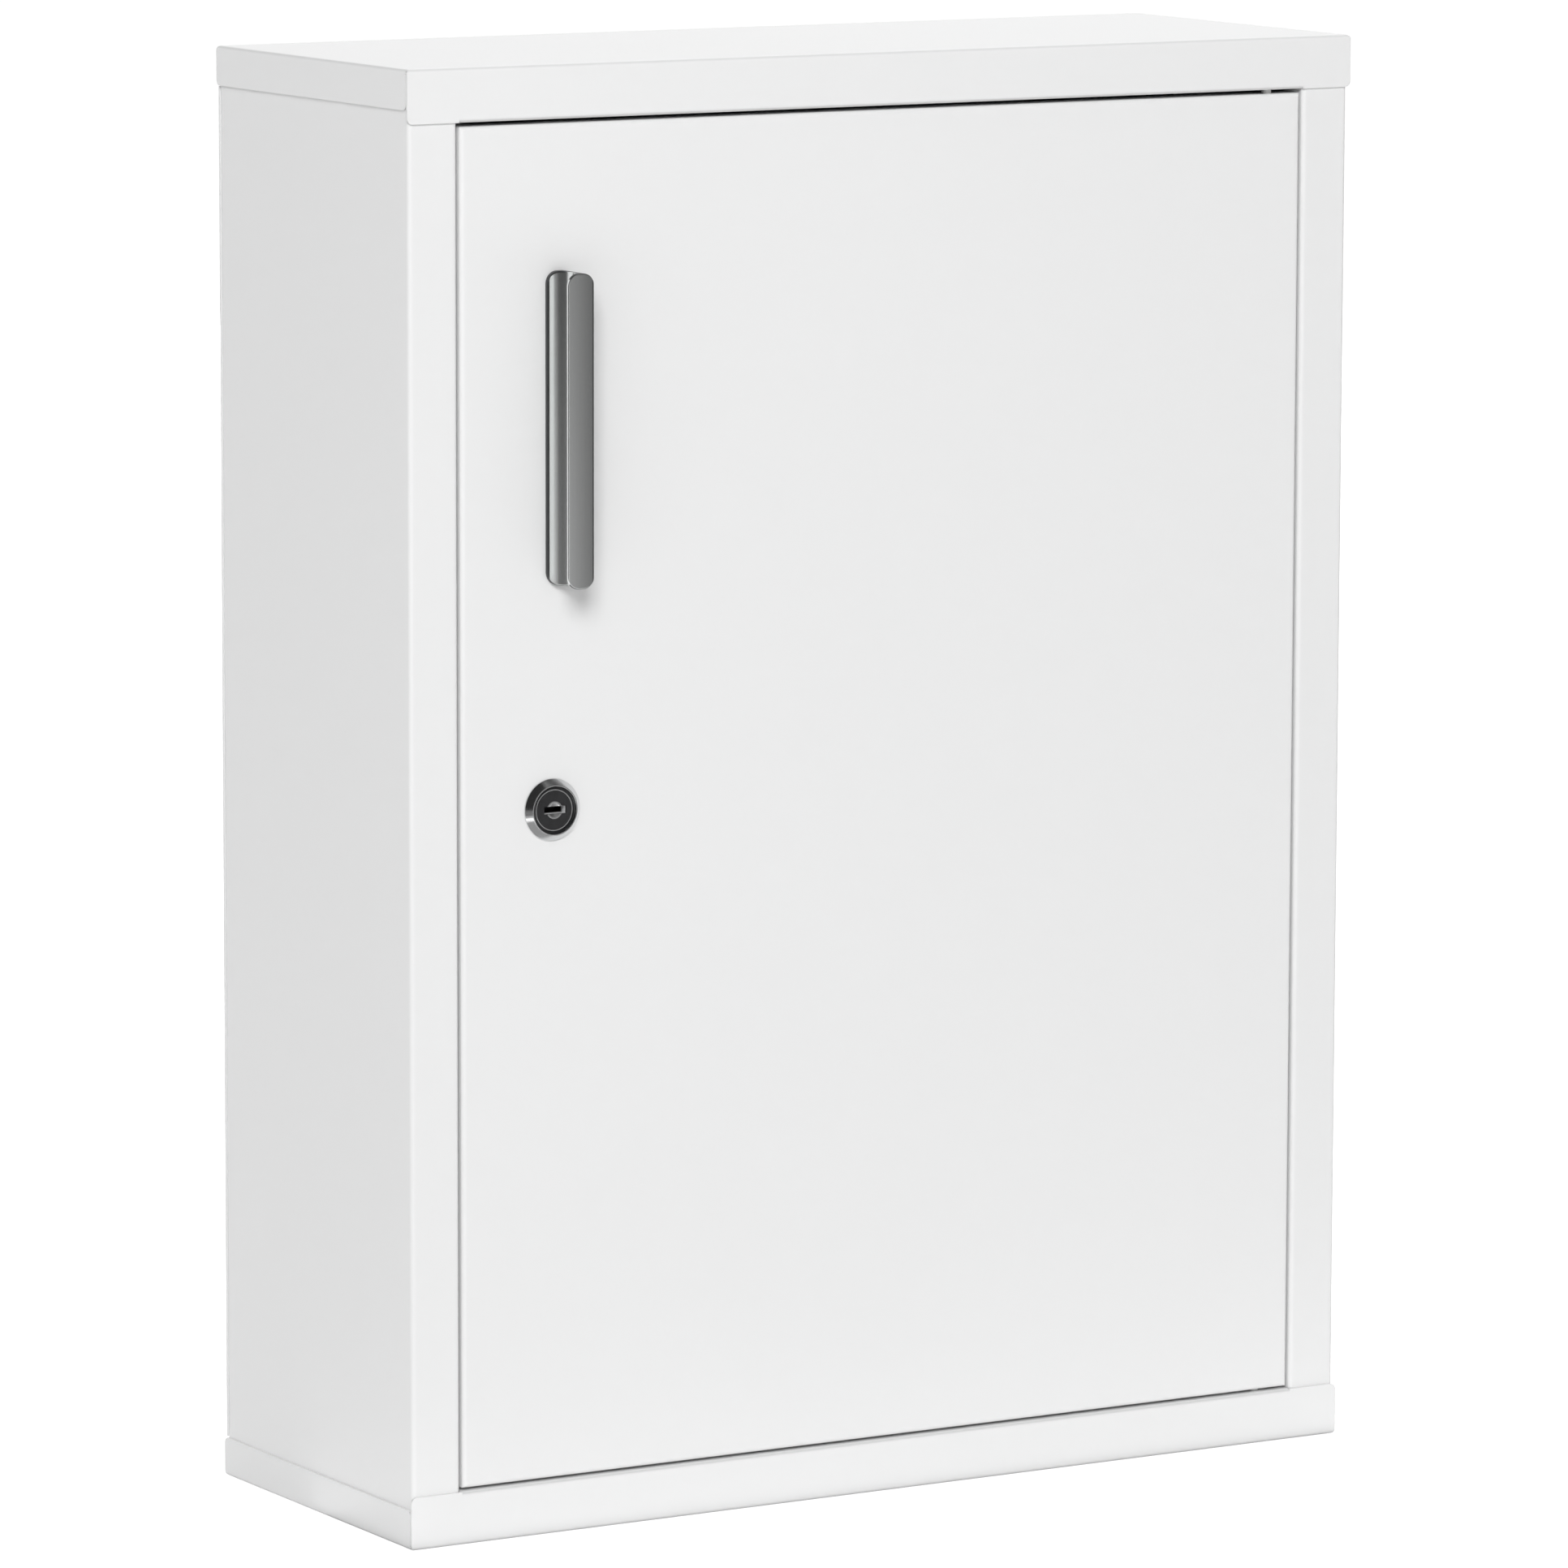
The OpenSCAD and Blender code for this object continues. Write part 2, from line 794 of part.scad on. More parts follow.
// Steel cam, pointing down when the lock is open
module lock_cam() {
    color(steel)
        difference() {
            union() {
                rod_y(lock_x, lock_z, cam_w / 2, cam_front, cam_front + cam_t);
                block([lock_x - cam_w / 2, cam_front, lock_z - cam_reach + cam_w / 2],
                    [lock_x + cam_w / 2, cam_front + cam_t, lock_z]);
                rod_y(lock_x, lock_z - cam_reach + cam_w / 2, cam_w / 2, cam_front, cam_front + cam_t);
            }
            block([lock_x - drive_w / 2 - run_fit, cam_front - over, lock_z - drive_w / 2 - run_fit],
                [lock_x + drive_w / 2 + run_fit, cam_front + cam_t + over, lock_z + drive_w / 2 + run_fit]);
        }
}

module cam_washer() {
    color(steel)
        difference() {
            rod_y(lock_x, lock_z, washer_r, cam_front + cam_t, cam_front + cam_t + washer_t);
            rod_y(lock_x, lock_z, cam_screw_r + loose_fit, cam_front, cam_front + cam_t + washer_t + over);
        }
}

module cam_screw() {
    seat = cam_front + cam_t + washer_t;
    color(steel)
        difference() {
            union() {
                rod_y(lock_x, lock_z, cam_screw_r, cam_front + cam_t - cam_screw_grip, seat);
                rod_y(lock_x, lock_z, cam_screw_head_r, seat, seat + cam_screw_head_t);
            }
            translate([lock_x, seat + cam_screw_head_t, lock_z])
                cross_recess(cam_screw_recess);
        }
}

top_panel();
bottom_panel();
left_side_panel();
right_side_panel();
back_panel();
left_front_strip();
left_rear_strip();
right_front_strip();
right_rear_strip();
lower_shelf();
upper_shelf();
shelf_clips();
upper_hinge_plate();
lower_hinge_plate();
upper_hinge_pin();
lower_hinge_pin();
door_buffers();
door_panel();
upper_hinge_bush();
lower_hinge_bush();
handle();
handle_screws();
lock_housing();
lock_ring();
lock_nut();
lock_plug();
plug_cap();
lock_cam();
cam_washer();
cam_screw();
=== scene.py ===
from math import pi, radians

import bpy
import numpy as np
from mathutils import Euler, Matrix, Vector


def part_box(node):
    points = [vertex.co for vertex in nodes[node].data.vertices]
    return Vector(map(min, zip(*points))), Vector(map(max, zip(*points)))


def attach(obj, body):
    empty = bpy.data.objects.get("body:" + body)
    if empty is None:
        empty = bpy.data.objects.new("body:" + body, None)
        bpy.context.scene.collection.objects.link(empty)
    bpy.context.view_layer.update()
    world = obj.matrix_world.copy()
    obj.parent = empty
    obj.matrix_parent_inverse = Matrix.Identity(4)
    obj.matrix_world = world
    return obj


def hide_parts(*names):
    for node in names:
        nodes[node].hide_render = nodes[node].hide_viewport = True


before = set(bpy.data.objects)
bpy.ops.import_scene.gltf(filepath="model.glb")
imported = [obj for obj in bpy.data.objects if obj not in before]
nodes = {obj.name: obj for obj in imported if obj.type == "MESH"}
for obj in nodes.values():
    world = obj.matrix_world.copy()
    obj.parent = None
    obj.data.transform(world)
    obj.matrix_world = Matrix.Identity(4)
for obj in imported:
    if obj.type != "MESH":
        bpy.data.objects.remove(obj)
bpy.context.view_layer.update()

# ---------------------------------------------------------------- camera
# A long lens a little above and to the left of the cabinet, about four metres away.
LENS_MM = 214.51
CAMERA_PLACE = Vector((-1.9821, -3.3415, 0.8557))
CAMERA_TURN, CAMERA_TILT, CAMERA_ROLL = radians(-30.652), radians(81.680), radians(0.152)

lens = bpy.data.cameras.new("camera")
lens.lens = LENS_MM
lens.sensor_width = 36.0
lens.clip_end = 200.0
camera = bpy.data.objects.new("camera", lens)
aim = Euler((CAMERA_TILT, 0.0, CAMERA_TURN)).to_matrix() @ Matrix.Rotation(CAMERA_ROLL, 3, "Z")
camera.matrix_world = Matrix.Translation(CAMERA_PLACE) @ aim.to_4x4()
bpy.context.scene.collection.objects.link(camera)
bpy.context.scene.camera = camera
bpy.context.scene.view_settings.view_transform = "Standard"


# ---------------------------------------------------------------- white powder-coated sheet
# The top, base, sides, back, shelves and door are 1 mm steel sheet, cut, folded and spot-welded.
# They are sprayed with a white polyester powder that melts into a satin skin with a faint orange peel.
class Wire:
    """A number inside a finish. Sums, differences and products of wires add Math nodes."""

    def __init__(self, finish, socket):
        self.finish = finish
        self.socket = socket

    def maths(self, operation, first, second):
        return self.finish.maths(operation, first, second)

    def __add__(self, other):
        return self.maths("ADD", self, other)

    def __sub__(self, other):
        return self.maths("SUBTRACT", self, other)

    def __rsub__(self, other):
        return self.maths("SUBTRACT", other, self)

    def __mul__(self, other):
        return self.maths("MULTIPLY", self, other)

    __radd__ = __add__
    __rmul__ = __mul__


class Finish:
    """A surface finish: a material, or the surround, whose nodes are added one by one."""

    def __init__(self, name, holder=None):
        self.material = holder or bpy.data.materials.new(name)
        self.material.use_nodes = True
        self.tree = self.material.node_tree
        self.tree.nodes.clear()
        self.place = self.node("ShaderNodeTexCoord", {}, {}, "Object")

    def node(self, kind, settings, inputs, output=0):
        """Adds one node, sets its settings and then its sockets, and returns the wire of one output.
        The setting "stops" is a ramp's list of [position, grey shade]."""
        made = self.tree.nodes.new(kind)
        for name, value in settings.items():
            if name == "stops":
                ramp = made.color_ramp.elements
                for extra in value[2:]:
                    ramp.new(extra[0])
                for stop, (position, shade) in zip(ramp, value):
                    stop.position = position
                    stop.color = (shade, shade, shade, 1.0)
            else:
                setattr(made, name, value)
        for name, value in inputs.items():
            if isinstance(value, Wire):
                self.tree.links.new(value.socket, made.inputs[name])
            else:
                made.inputs[name].default_value = value
        return Wire(self, made.outputs[output]) if made.outputs else made

    def maths(self, operation, first, second):
        return self.node("ShaderNodeMath", {"operation": operation}, {0: first, 1: second})

    def stretched(self, scale):
        """Object coordinates scaled along each axis, in cycles per metre."""
        return self.node("ShaderNodeMapping", {}, {"Vector": self.place, "Scale": scale})

    def noise(self, vector, scale, detail, roughness):
        """A cloudy 0 to 1 pattern of that many cycles per unit of the vector."""
        return self.node("ShaderNodeTexNoise", {}, {
            "Vector": vector, "Scale": scale, "Detail": detail, "Roughness": roughness}, "Fac")

    def between(self, factor, dark, pale):
        """A colour between two, by a wire from 0 to 1."""
        return self.node("ShaderNodeMix", {"data_type": "RGBA"}, {0: factor, 6: dark, 7: pale}, 2)

    def eased(self, radius):
        """The normal of edges that the coat rounds off by that radius."""
        return self.node("ShaderNodeBevel", {"samples": 4}, {"Radius": radius})

    def raised(self, height, distance, under=None):
        """A bump of that many metres, laid over another normal if there is one."""
        inputs = {"Height": height, "Distance": distance, "Strength": 1.0}
        if under is not None:
            inputs["Normal"] = under
        return self.node("ShaderNodeBump", {}, inputs)

    def surface(self, **sockets):
        """The shader itself; an underscore in a socket's name stands for a space."""
        inputs = {name.replace("_", " "): value for name, value in sockets.items()}
        shader = self.node("ShaderNodeBsdfPrincipled", {}, inputs)
        self.node("ShaderNodeOutputMaterial", {}, {"Surface": shader})
        return self.material


def dress(material, *names):
    """Gives the CAD nodes of those names a finish."""
    for name in names:
        for place in nodes[name].material_slots:
            place.material = material


def powder_coat(name, fold_painted_shade):
    """White powder. On a tray's folds the colour is greyed as painted shade: the share is the square of
    4 z^2 (1 - z^2), where z is how far the surface faces up, so it peaks half way round a fold."""
    powder = Finish(name)
    peel_wide = powder.noise(powder.place, 260.0, 2.0, 0.45)
    peel_fine = powder.noise(powder.place, 900.0, 2.0, 0.5)
    cloud = powder.noise(powder.place, 7.0, 3.0, 0.55)
    shade = powder.between(cloud, (0.850, 0.852, 0.852, 1.0), (0.861, 0.863, 0.863, 1.0))
    facing = powder.node("ShaderNodeTexCoord", {}, {}, "Normal")
    up = powder.node("ShaderNodeSeparateXYZ", {}, {"Vector": facing}, "Z")
    fold = 4.0 * up * up * (1.0 - up * up)
    return powder.surface(
        Base_Color=powder.between(fold_painted_shade * fold * fold, shade, (0.50, 0.50, 0.50, 1.0)),
        Roughness=0.34 + 0.10 * peel_fine + 0.04 * cloud,
        Specular_IOR_Level=0.5,
        Normal=powder.raised(peel_fine, 0.000006, powder.raised(peel_wide, 0.00002, powder.eased(0.0004))),
    )


dress(powder_coat("white_powder_coat", 0.0), "left_side_panel", "right_side_panel", "back_panel",
      "lower_shelf", "upper_shelf", "door_panel")
# The trays get a painted shade line along their folds.
dress(powder_coat("white_powder_coat_trays_fold_shade", 0.5), "top_panel", "bottom_panel")

# ---------------------------------------------------------------- handle
# A finger pull sawn from an aluminium bar extruded with a round scoop along one side, with rounded
# corners. Its face and scoop are ground satin bright; its sides, the base lip at the door and the sawn
# ends are coloured near-black as painted shade. Two screws from inside the door hold it.
HANDLE_CORNER = 0.005
BASE_LIP, BASE_LIP_ROUND = 0.0024, 0.0009
FRONT_LIP, FRONT_LIP_ROUND = 0.0016, 0.0004
SIDE_ROUND, BACK_ROUND = 0.0007, 0.0003
FRONT_CROWN = 0.00028
END_EDGE = 0.00045
END_SHADE_SLOPE, GROUND_PAST_SCOOP = 0.30, 0.00012

handle_low, handle_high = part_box("handle")


def skin(name, points, faces, body, material):
    """A mesh piece from an array of points and lists of corners, riding on a body."""
    mesh = bpy.data.meshes.new(name)
    mesh.from_pydata(points.tolist(), [], faces)
    mesh.validate()
    mesh.polygons.foreach_set("use_smooth", [True] * len(mesh.polygons))
    mesh.materials.append(material)
    piece = bpy.data.objects.new(name, mesh)
    bpy.context.scene.collection.objects.link(piece)
    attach(piece, body)
    return piece


def quarter(centre_x, centre_y, radius, x, side):
    """The y of a circle at x: centre plus or minus the height of the half chord."""
    return centre_y + side * np.sqrt(np.clip(radius ** 2 - (x - centre_x) ** 2, 0.0, None))


def sawn_height(x):
    """How high the rounded end stands at x, from the bar's middle: the half height less the drop
    of a circle of HANDLE_CORNER at each side; and the share of the end's slope that faces up."""
    near = np.minimum(x - handle_low.x, handle_high.x - x)
    into = np.clip(HANDLE_CORNER - near, 0.0, HANDLE_CORNER)
    level = np.sqrt(HANDLE_CORNER ** 2 - into ** 2)
    return (handle_high.z - handle_low.z) / 2.0 - HANDLE_CORNER + level, level / HANDLE_CORNER


def handle_columns():
    """Stations across the bar, where its corners' circle takes equal turns, with a few in the middle.
    The turn's station t stands at HANDLE_CORNER times 1 - cos t from the side."""
    bend = HANDLE_CORNER * (1.0 - np.cos(np.radians(np.linspace(0.0, 90.0, 19))))
    width = handle_high.x - handle_low.x
    middle = np.linspace(HANDLE_CORNER, width - HANDLE_CORNER, 6)[1:-1]
    return handle_low.x + np.concatenate([bend, middle, width - bend[::-1]])


def build_handle():
    """The bar's section is drawn at each station as four heights: front, scoop (front and rear half)
    and back. One ring runs round them and is carried up the bar; at each end it closes in over
    END_EDGE and the end is filled station by station, front to scoop and scoop to back."""
    on_right, on_base_lip, on_front_lip = 5, 3, 2
    x0, x1, y0, y1 = handle_low.x, handle_high.x, handle_low.y, handle_high.y
    scoop = (y1 - y0 - BASE_LIP - FRONT_LIP) / 2.0
    middle = y0 + FRONT_LIP + scoop
    x = handle_columns()
    half = (x1 - x0) / 2.0
    front = y0 + FRONT_CROWN * ((x - x0 - half) / half) ** 2
    edge = y0 + FRONT_CROWN
    tip = x < x0 + FRONT_LIP_ROUND
    front[tip] = quarter(x0 + FRONT_LIP_ROUND, edge + FRONT_LIP_ROUND, FRONT_LIP_ROUND, x[tip], -1)
    side = x > x1 - SIDE_ROUND
    front[side] = quarter(x1 - SIDE_ROUND, edge + SIDE_ROUND, SIDE_ROUND, x[side], -1)
    back = np.full(len(x), y1)
    rear = x > x1 - BACK_ROUND
    back[rear] = quarter(x1 - BACK_ROUND, y1 - BACK_ROUND, BACK_ROUND, x[rear], 1)

    # The scoop's own stations: those of the bar up to its deepest point, and more where it turns
    turn = x0 + scoop * np.cos(np.radians(np.linspace(60.0, 0.0, 22)))
    inside = np.concatenate([x[x < turn[0] - 1e-5], turn])
    low = quarter(x0, middle, scoop, inside, -1)
    high = quarter(x0, middle, scoop, inside, 1)
    for lip, radius, line in ((-1, FRONT_LIP_ROUND, low), (1, BASE_LIP_ROUND, high)):
        rise = np.sqrt((scoop + radius) ** 2 - radius ** 2)
        meet = x0 + radius * scoop / (scoop + radius)
        near = inside < meet
        line[near] = quarter(x0 + radius, middle + lip * rise, radius, inside[near], -lip)
    across = np.concatenate([inside, x[x > turn[-1] + 1e-5]])
    front, back = np.interp(across, x, front), np.interp(across, x, back)
    deep = len(inside) - 1
    right = np.linspace(front[-1], back[-1], on_right + 2)[1:-1]
    lip_front = np.linspace(low[0], front[0], on_front_lip + 2)[1:-1]
    lip_base = np.linspace(back[0], high[0], on_base_lip + 2)[1:-1]
    ring = np.concatenate([
        np.stack([across, front], 1),
        np.stack([np.full(on_right, x1), right], 1),
        np.stack([across, back], 1)[::-1],
        np.stack([np.full(on_base_lip, x0), lip_base], 1),
        np.stack([inside, high], 1),
        np.stack([inside, low], 1)[-2::-1],
        np.stack([np.full(on_front_lip, x0), lip_front], 1)])
    around = len(ring)
    step = np.roll(ring, -1, 0) - np.roll(ring, 1, 0)
    inward = np.stack([-step[:, 1], step[:, 0]], 1) / np.linalg.norm(step, axis=1)[:, None]
    centre = (handle_low.z + handle_high.z) / 2.0
    level, slope = sawn_height(ring[:, 0])

    rows = []
    bend = np.radians(np.linspace(0.0, 90.0, 6))
    rounds = np.stack([1.0 - np.cos(bend), 1.0 - np.sin(bend)], 1) * END_EDGE
    for way in (-1.0, 1.0):
        half_rows = []
        for inset, fall in rounds:
            place = ring + inward * np.stack([slope, np.ones(around)], 1) * inset
            height = sawn_height(place[:, 0])[0] - fall
            half_rows.append(np.column_stack([place, centre + way * height]))
        # Two more rows close below the end keep the bar's smooth shading off its rounded edge
        for gap in (0.0003, 0.0015):
            half_rows.insert(0, np.column_stack([ring, centre + way * (level - END_EDGE - gap)]))
        rows += half_rows[::-1] if way < 0 else half_rows
    count = len(rows)
    points = np.concatenate(rows)
    here = np.arange(around)
    there = (here + 1) % around
    base = np.arange(count - 1)[:, None] * around
    faces = np.stack([base + here, base + there, base + there + around, base + here + around], 2)
    faces = faces.reshape(-1, 4).tolist()

    # Ends: the ring's stations are numbered, and the thick part gets a row of points along its middle
    number_front = np.arange(len(across))
    number_back = len(across) + on_right + np.arange(len(across))[::-1]
    first_high = 2 * len(across) + on_right + on_base_lip
    number_high = first_high + np.arange(len(inside))
    number_low = np.concatenate([first_high + len(inside) + np.arange(deep)[::-1], [number_high[-1]]])
    spine_x = across[deep + 1:-1]
    for ring_row, way in ((0, -1.0), (count - 1, 1.0)):
        start = ring_row * around
        spine = len(points) + np.arange(len(spine_x))
        points = np.concatenate([points, np.column_stack([
            spine_x, np.full(len(spine_x), middle), centre + way * sawn_height(spine_x)[0]])])
        web = np.concatenate([[start + number_high[-1]], spine, [start + len(across) + on_right // 2]])
        fronts, backs = start + number_front, start + number_back
        lows, highs = start + number_low, start + number_high
        strips = [(fronts[:deep + 1], lows), (highs, backs[:deep + 1]),
                  (fronts[deep:-1], web[:-1]), (web[:-1], backs[deep:-1])]
        for near, far in strips:
            quads = np.stack([near[:-1], near[1:], far[1:], far[:-1]], 1)
            faces += (quads if way > 0 else quads[:, ::-1]).tolist()
        rim = start + np.arange(len(across) - 1, len(across) + on_right + 1)
        fan = [spine[-1], fronts[-2], *rim.tolist(), backs[-2]]
        faces.append(fan if way > 0 else fan[::-1])
    return points, faces


aluminium = Finish("anodised_aluminium")
split_place = {"Vector": aluminium.place}
across_bar = aluminium.node("ShaderNodeSeparateXYZ", {}, split_place, "X") - handle_low.x
out_of_door = aluminium.node("ShaderNodeSeparateXYZ", {}, split_place, "Y")
facing = {"Vector": aluminium.node("ShaderNodeTexCoord", {}, {}, "Normal")}
facing_up = aluminium.node("ShaderNodeSeparateXYZ", {}, facing, "Z")
scoop_radius = (handle_high.y - handle_low.y - BASE_LIP - FRONT_LIP) / 2.0
from_middle = out_of_door - (handle_low.y + FRONT_LIP + scoop_radius)
in_scoop = aluminium.maths("LESS_THAN", across_bar * across_bar + from_middle * from_middle,
                           (scoop_radius + GROUND_PAST_SCOOP) ** 2)
# Painted shade: away from the satin face and scoop, and on the sawn ends that face up or down, the colour
# is near-black.
on_face = aluminium.maths("LESS_THAN", out_of_door, handle_low.y + FRONT_LIP)
on_face = on_face * aluminium.maths("LESS_THAN", across_bar, handle_high.x - handle_low.x - SIDE_ROUND)
end_painted_shade = aluminium.maths("GREATER_THAN", facing_up * facing_up, END_SHADE_SLOPE)
ground = aluminium.maths("MAXIMUM", in_scoop, on_face) * (1.0 - end_painted_shade)
die_lines = aluminium.noise(aluminium.stretched((2600.0, 2600.0, 9.0)), 1.0, 3.0, 0.6)
etch = aluminium.noise(aluminium.place, 2200.0, 2.0, 0.6)
handling = aluminium.noise(aluminium.stretched((60.0, 60.0, 18.0)), 1.0, 3.0, 0.55)
ground_shade = aluminium.between(die_lines, (0.89, 0.905, 0.90, 1.0), (0.94, 0.955, 0.95, 1.0))
# The near-black of the painted shade, mottled by the etch.
painted_side_shade = aluminium.between(etch, (0.075, 0.077, 0.08, 1.0), (0.105, 0.107, 0.11, 1.0))
satin_aluminium = aluminium.surface(
    Base_Color=aluminium.between(ground, painted_side_shade, ground_shade),
    Metallic=1.0,
    Roughness=0.30 - 0.14 * ground + 0.05 * etch + 0.05 * handling,
    Normal=aluminium.raised(die_lines, 0.0000015, aluminium.raised(etch, 0.0000006)),
)
handle_points, handle_faces = build_handle()
handle = skin("handle_bar", handle_points, handle_faces, "door", satin_aluminium)
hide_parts("handle")

# ---------------------------------------------------------------- lock body
# A die-cast zinc body, chrome plated: a coned front ring on a threaded barrel with two flats.
# It is pushed through the door and clamped by a thin nut; the plug turns in its bore.
FLAT_REACH = 0.0082
THREAD_PITCH, THREAD_DEPTH, THREAD_START, THREAD_END = 0.001, 0.0003, 0.0009, 0.0003
BORE_RADIUS, MOUTH_RADIUS, BARREL_RADIUS = 0.00625, 0.0098, 0.0094
RING_HEIGHT, RING_SLOPE, RING_RIM, MOUTH_FLOOR = 0.003, 0.0024, 0.0006, 0.0004
MOUTH_ROUND, RING_ROUND, BARREL_ROUND = 0.00012, 0.00022, 0.0004
FLAT_START, ROWS_START, ROWS_END = 0.0001, 0.0002, 0.0005

lock_low, lock_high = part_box("lock_housing")
door_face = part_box("door_panel")[0].y
lock_depth = door_face - lock_high.y
lock_x, lock_z = (lock_low.x + lock_high.x) / 2.0, (lock_low.z + lock_high.z) / 2.0


def rounded(corners, radii, steps=5):
    """A closed outline with its corners rounded: each arc starts and ends at a tangent length of
    radius over the tangent of half the corner's angle, and is blended as a circle."""
    corners = np.array(corners, float)
    before = np.roll(corners, 1, 0) - corners
    after = np.roll(corners, -1, 0) - corners
    before /= np.linalg.norm(before, axis=1)[:, None]
    after /= np.linalg.norm(after, axis=1)[:, None]
    half = np.arccos(np.clip((before * after).sum(1), -1.0, 1.0)) / 2.0
    reach = np.array(radii) / np.tan(half)
    bisect = before + after
    bisect /= np.linalg.norm(bisect, axis=1)[:, None]
    centre = corners + bisect * (np.array(radii) / np.sin(half))[:, None]
    start, end = corners + before * reach[:, None], corners + after * reach[:, None]
    share = np.linspace(0.0, 1.0, steps)
    chord = start[:, None] * (1.0 - share)[None, :, None] + end[:, None] * share[None, :, None]
    spoke = chord - centre[:, None]
    length = np.linalg.norm(spoke, axis=2, keepdims=True)
    arcs = centre[:, None] + spoke / np.maximum(length, 1e-12) * np.array(radii)[:, None, None]
    sharp = np.array(radii) < 1e-7
    arcs[sharp] = corners[sharp][:, None]
    return [arc[:1] if flat else arc for arc, flat in zip(arcs, sharp)]


def turned(outline, turns=96, shape=None):
    """A lathe surface: each outline point, as [radius, distance in front of the door], is carried
    round the lock's axis; shape may change the radius by angle. The outline is closed."""
    outline = np.array(outline)
    angle = np.linspace(0.0, 2.0 * pi, turns, endpoint=False)
    around = np.tile(angle, (len(outline), 1))
    radius = np.tile(outline[:, 0:1], (1, turns))
    out = np.tile(outline[:, 1:2], (1, turns))
    if shape is not None:
        radius = shape(radius, out, around)
    points = np.stack([
        lock_x + radius * np.cos(around), door_face - out, lock_z + radius * np.sin(around)], 2)
    row, column = np.meshgrid(np.arange(len(outline)), np.arange(turns), indexing="ij")
    row_next, column_next = (row + 1) % len(outline), (column + 1) % turns
    faces = np.stack([row * turns + column, row_next * turns + column,
                      row_next * turns + column_next, row * turns + column_next], 2)
    return points.reshape(-1, 3), faces.reshape(-1, 4).tolist()


def barrel_shape(radius, out, around):
    """The barrel behind the ring: a thread that winds once a pitch, cut by the two flats."""
    wind = (out / THREAD_PITCH - around / (2.0 * pi)) % 1.0
    depth = THREAD_DEPTH * np.abs(2.0 * wind - 1.0)
    threaded = (out < -THREAD_START) & (out > lock_depth + THREAD_END) & (radius > FLAT_REACH)
    cut = np.where(threaded, radius - depth, radius)
    outside = (out < -FLAT_START) & (radius > (BORE_RADIUS + FLAT_REACH) / 2.0)
    flat = np.where(outside, FLAT_REACH / np.maximum(np.abs(np.sin(around)), 1e-6), 1.0)
    return np.minimum(cut, flat)


ring_radius = (lock_high.x - lock_low.x) / 2.0
body_arcs = rounded(
    [(BORE_RADIUS, MOUTH_FLOOR), (MOUTH_RADIUS, MOUTH_FLOOR), (MOUTH_RADIUS, RING_HEIGHT),
     (ring_radius - RING_SLOPE, RING_HEIGHT), (ring_radius, RING_RIM), (ring_radius, 0.0),
     (BARREL_RADIUS, 0.0), (BARREL_RADIUS, lock_depth), (BORE_RADIUS, lock_depth)],
    [0.0, 0.0, MOUTH_ROUND, RING_ROUND, RING_ROUND, 0.0, 0.0, BARREL_ROUND, 0.0])
thread_rows = np.arange(-ROWS_START, lock_depth + ROWS_END, -THREAD_PITCH / 8.0)
thread = np.stack([np.full(len(thread_rows), BARREL_RADIUS), thread_rows], 1)
body_outline = np.concatenate(body_arcs[:7] + [thread] + body_arcs[7:])

chrome = Finish("chrome_plate")
smudge = chrome.noise(chrome.place, 180.0, 4.0, 0.6)
spoke = chrome.node("ShaderNodeVectorMath", {"operation": "MULTIPLY_ADD"}, {
    0: chrome.place, 1: (1.0, 0.0, 1.0), 2: (-lock_x, 0.0, -lock_z)}, "Vector")
spoke = chrome.node("ShaderNodeVectorMath", {"operation": "NORMALIZE"}, {0: spoke}, "Vector")
polish = chrome.noise(spoke, 13.0, 5.0, 0.7)
bright_chrome = chrome.surface(
    Base_Color=chrome.between(smudge, (0.74, 0.745, 0.75, 1.0), (0.82, 0.825, 0.83, 1.0)),
    Metallic=1.0,
    Roughness=0.08 + 0.12 * smudge,
    Normal=chrome.raised(polish, 0.00003, chrome.eased(0.0002)),
)
body_points, body_faces = turned(body_outline, 128, barrel_shape)
lock_body = skin("lock_body", body_points, body_faces, "door", bright_chrome)
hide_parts("lock_housing")

# ---------------------------------------------------------------- lock plug
# The plug turned by the key, of the same plated zinc: a thin rim, a dished core and the keyway.
# The plating is dull inside the keyway's mouth; deeper in, the keyway is coloured near-black as painted
# shade.
KEYWAY_MOUTH = (0.0009, 0.0011)
KEYWAY_SHADE_DEPTHS = (0.0036, 0.0050)

plug = Finish("chrome_plate_keyway")
along = plug.node("ShaderNodeSeparateXYZ", {}, {"Vector": plug.place}, "Y")
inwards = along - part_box("lock_plug")[0].y
in_keyway = plug.node("ShaderNodeMapRange", {}, {
    "Value": inwards, "From Min": KEYWAY_MOUTH[0], "From Max": KEYWAY_MOUTH[1]}, 0)
# Painted shade: from this depth the keyway turns near-black.
keyway_painted_shade = plug.node("ShaderNodeMapRange", {}, {
    "Value": inwards, "From Min": KEYWAY_SHADE_DEPTHS[0], "From Max": KEYWAY_SHADE_DEPTHS[1]}, 0)
wear = plug.noise(plug.place, 700.0, 4.0, 0.6)
plug_shade = plug.between(wear, (0.72, 0.725, 0.73, 1.0), (0.84, 0.845, 0.85, 1.0))
worn_plug_and_keyway_shade = plug.surface(
    Base_Color=plug.between(keyway_painted_shade, plug_shade, (0.015, 0.014, 0.013, 1.0)),
    Metallic=1.0 - 0.85 * in_keyway,
    Roughness=0.10 + 0.10 * wear + 0.32 * in_keyway,
    Normal=plug.raised(wear, 0.000008, plug.eased(0.0002)),
)
dress(worn_plug_and_keyway_shade, "lock_plug")

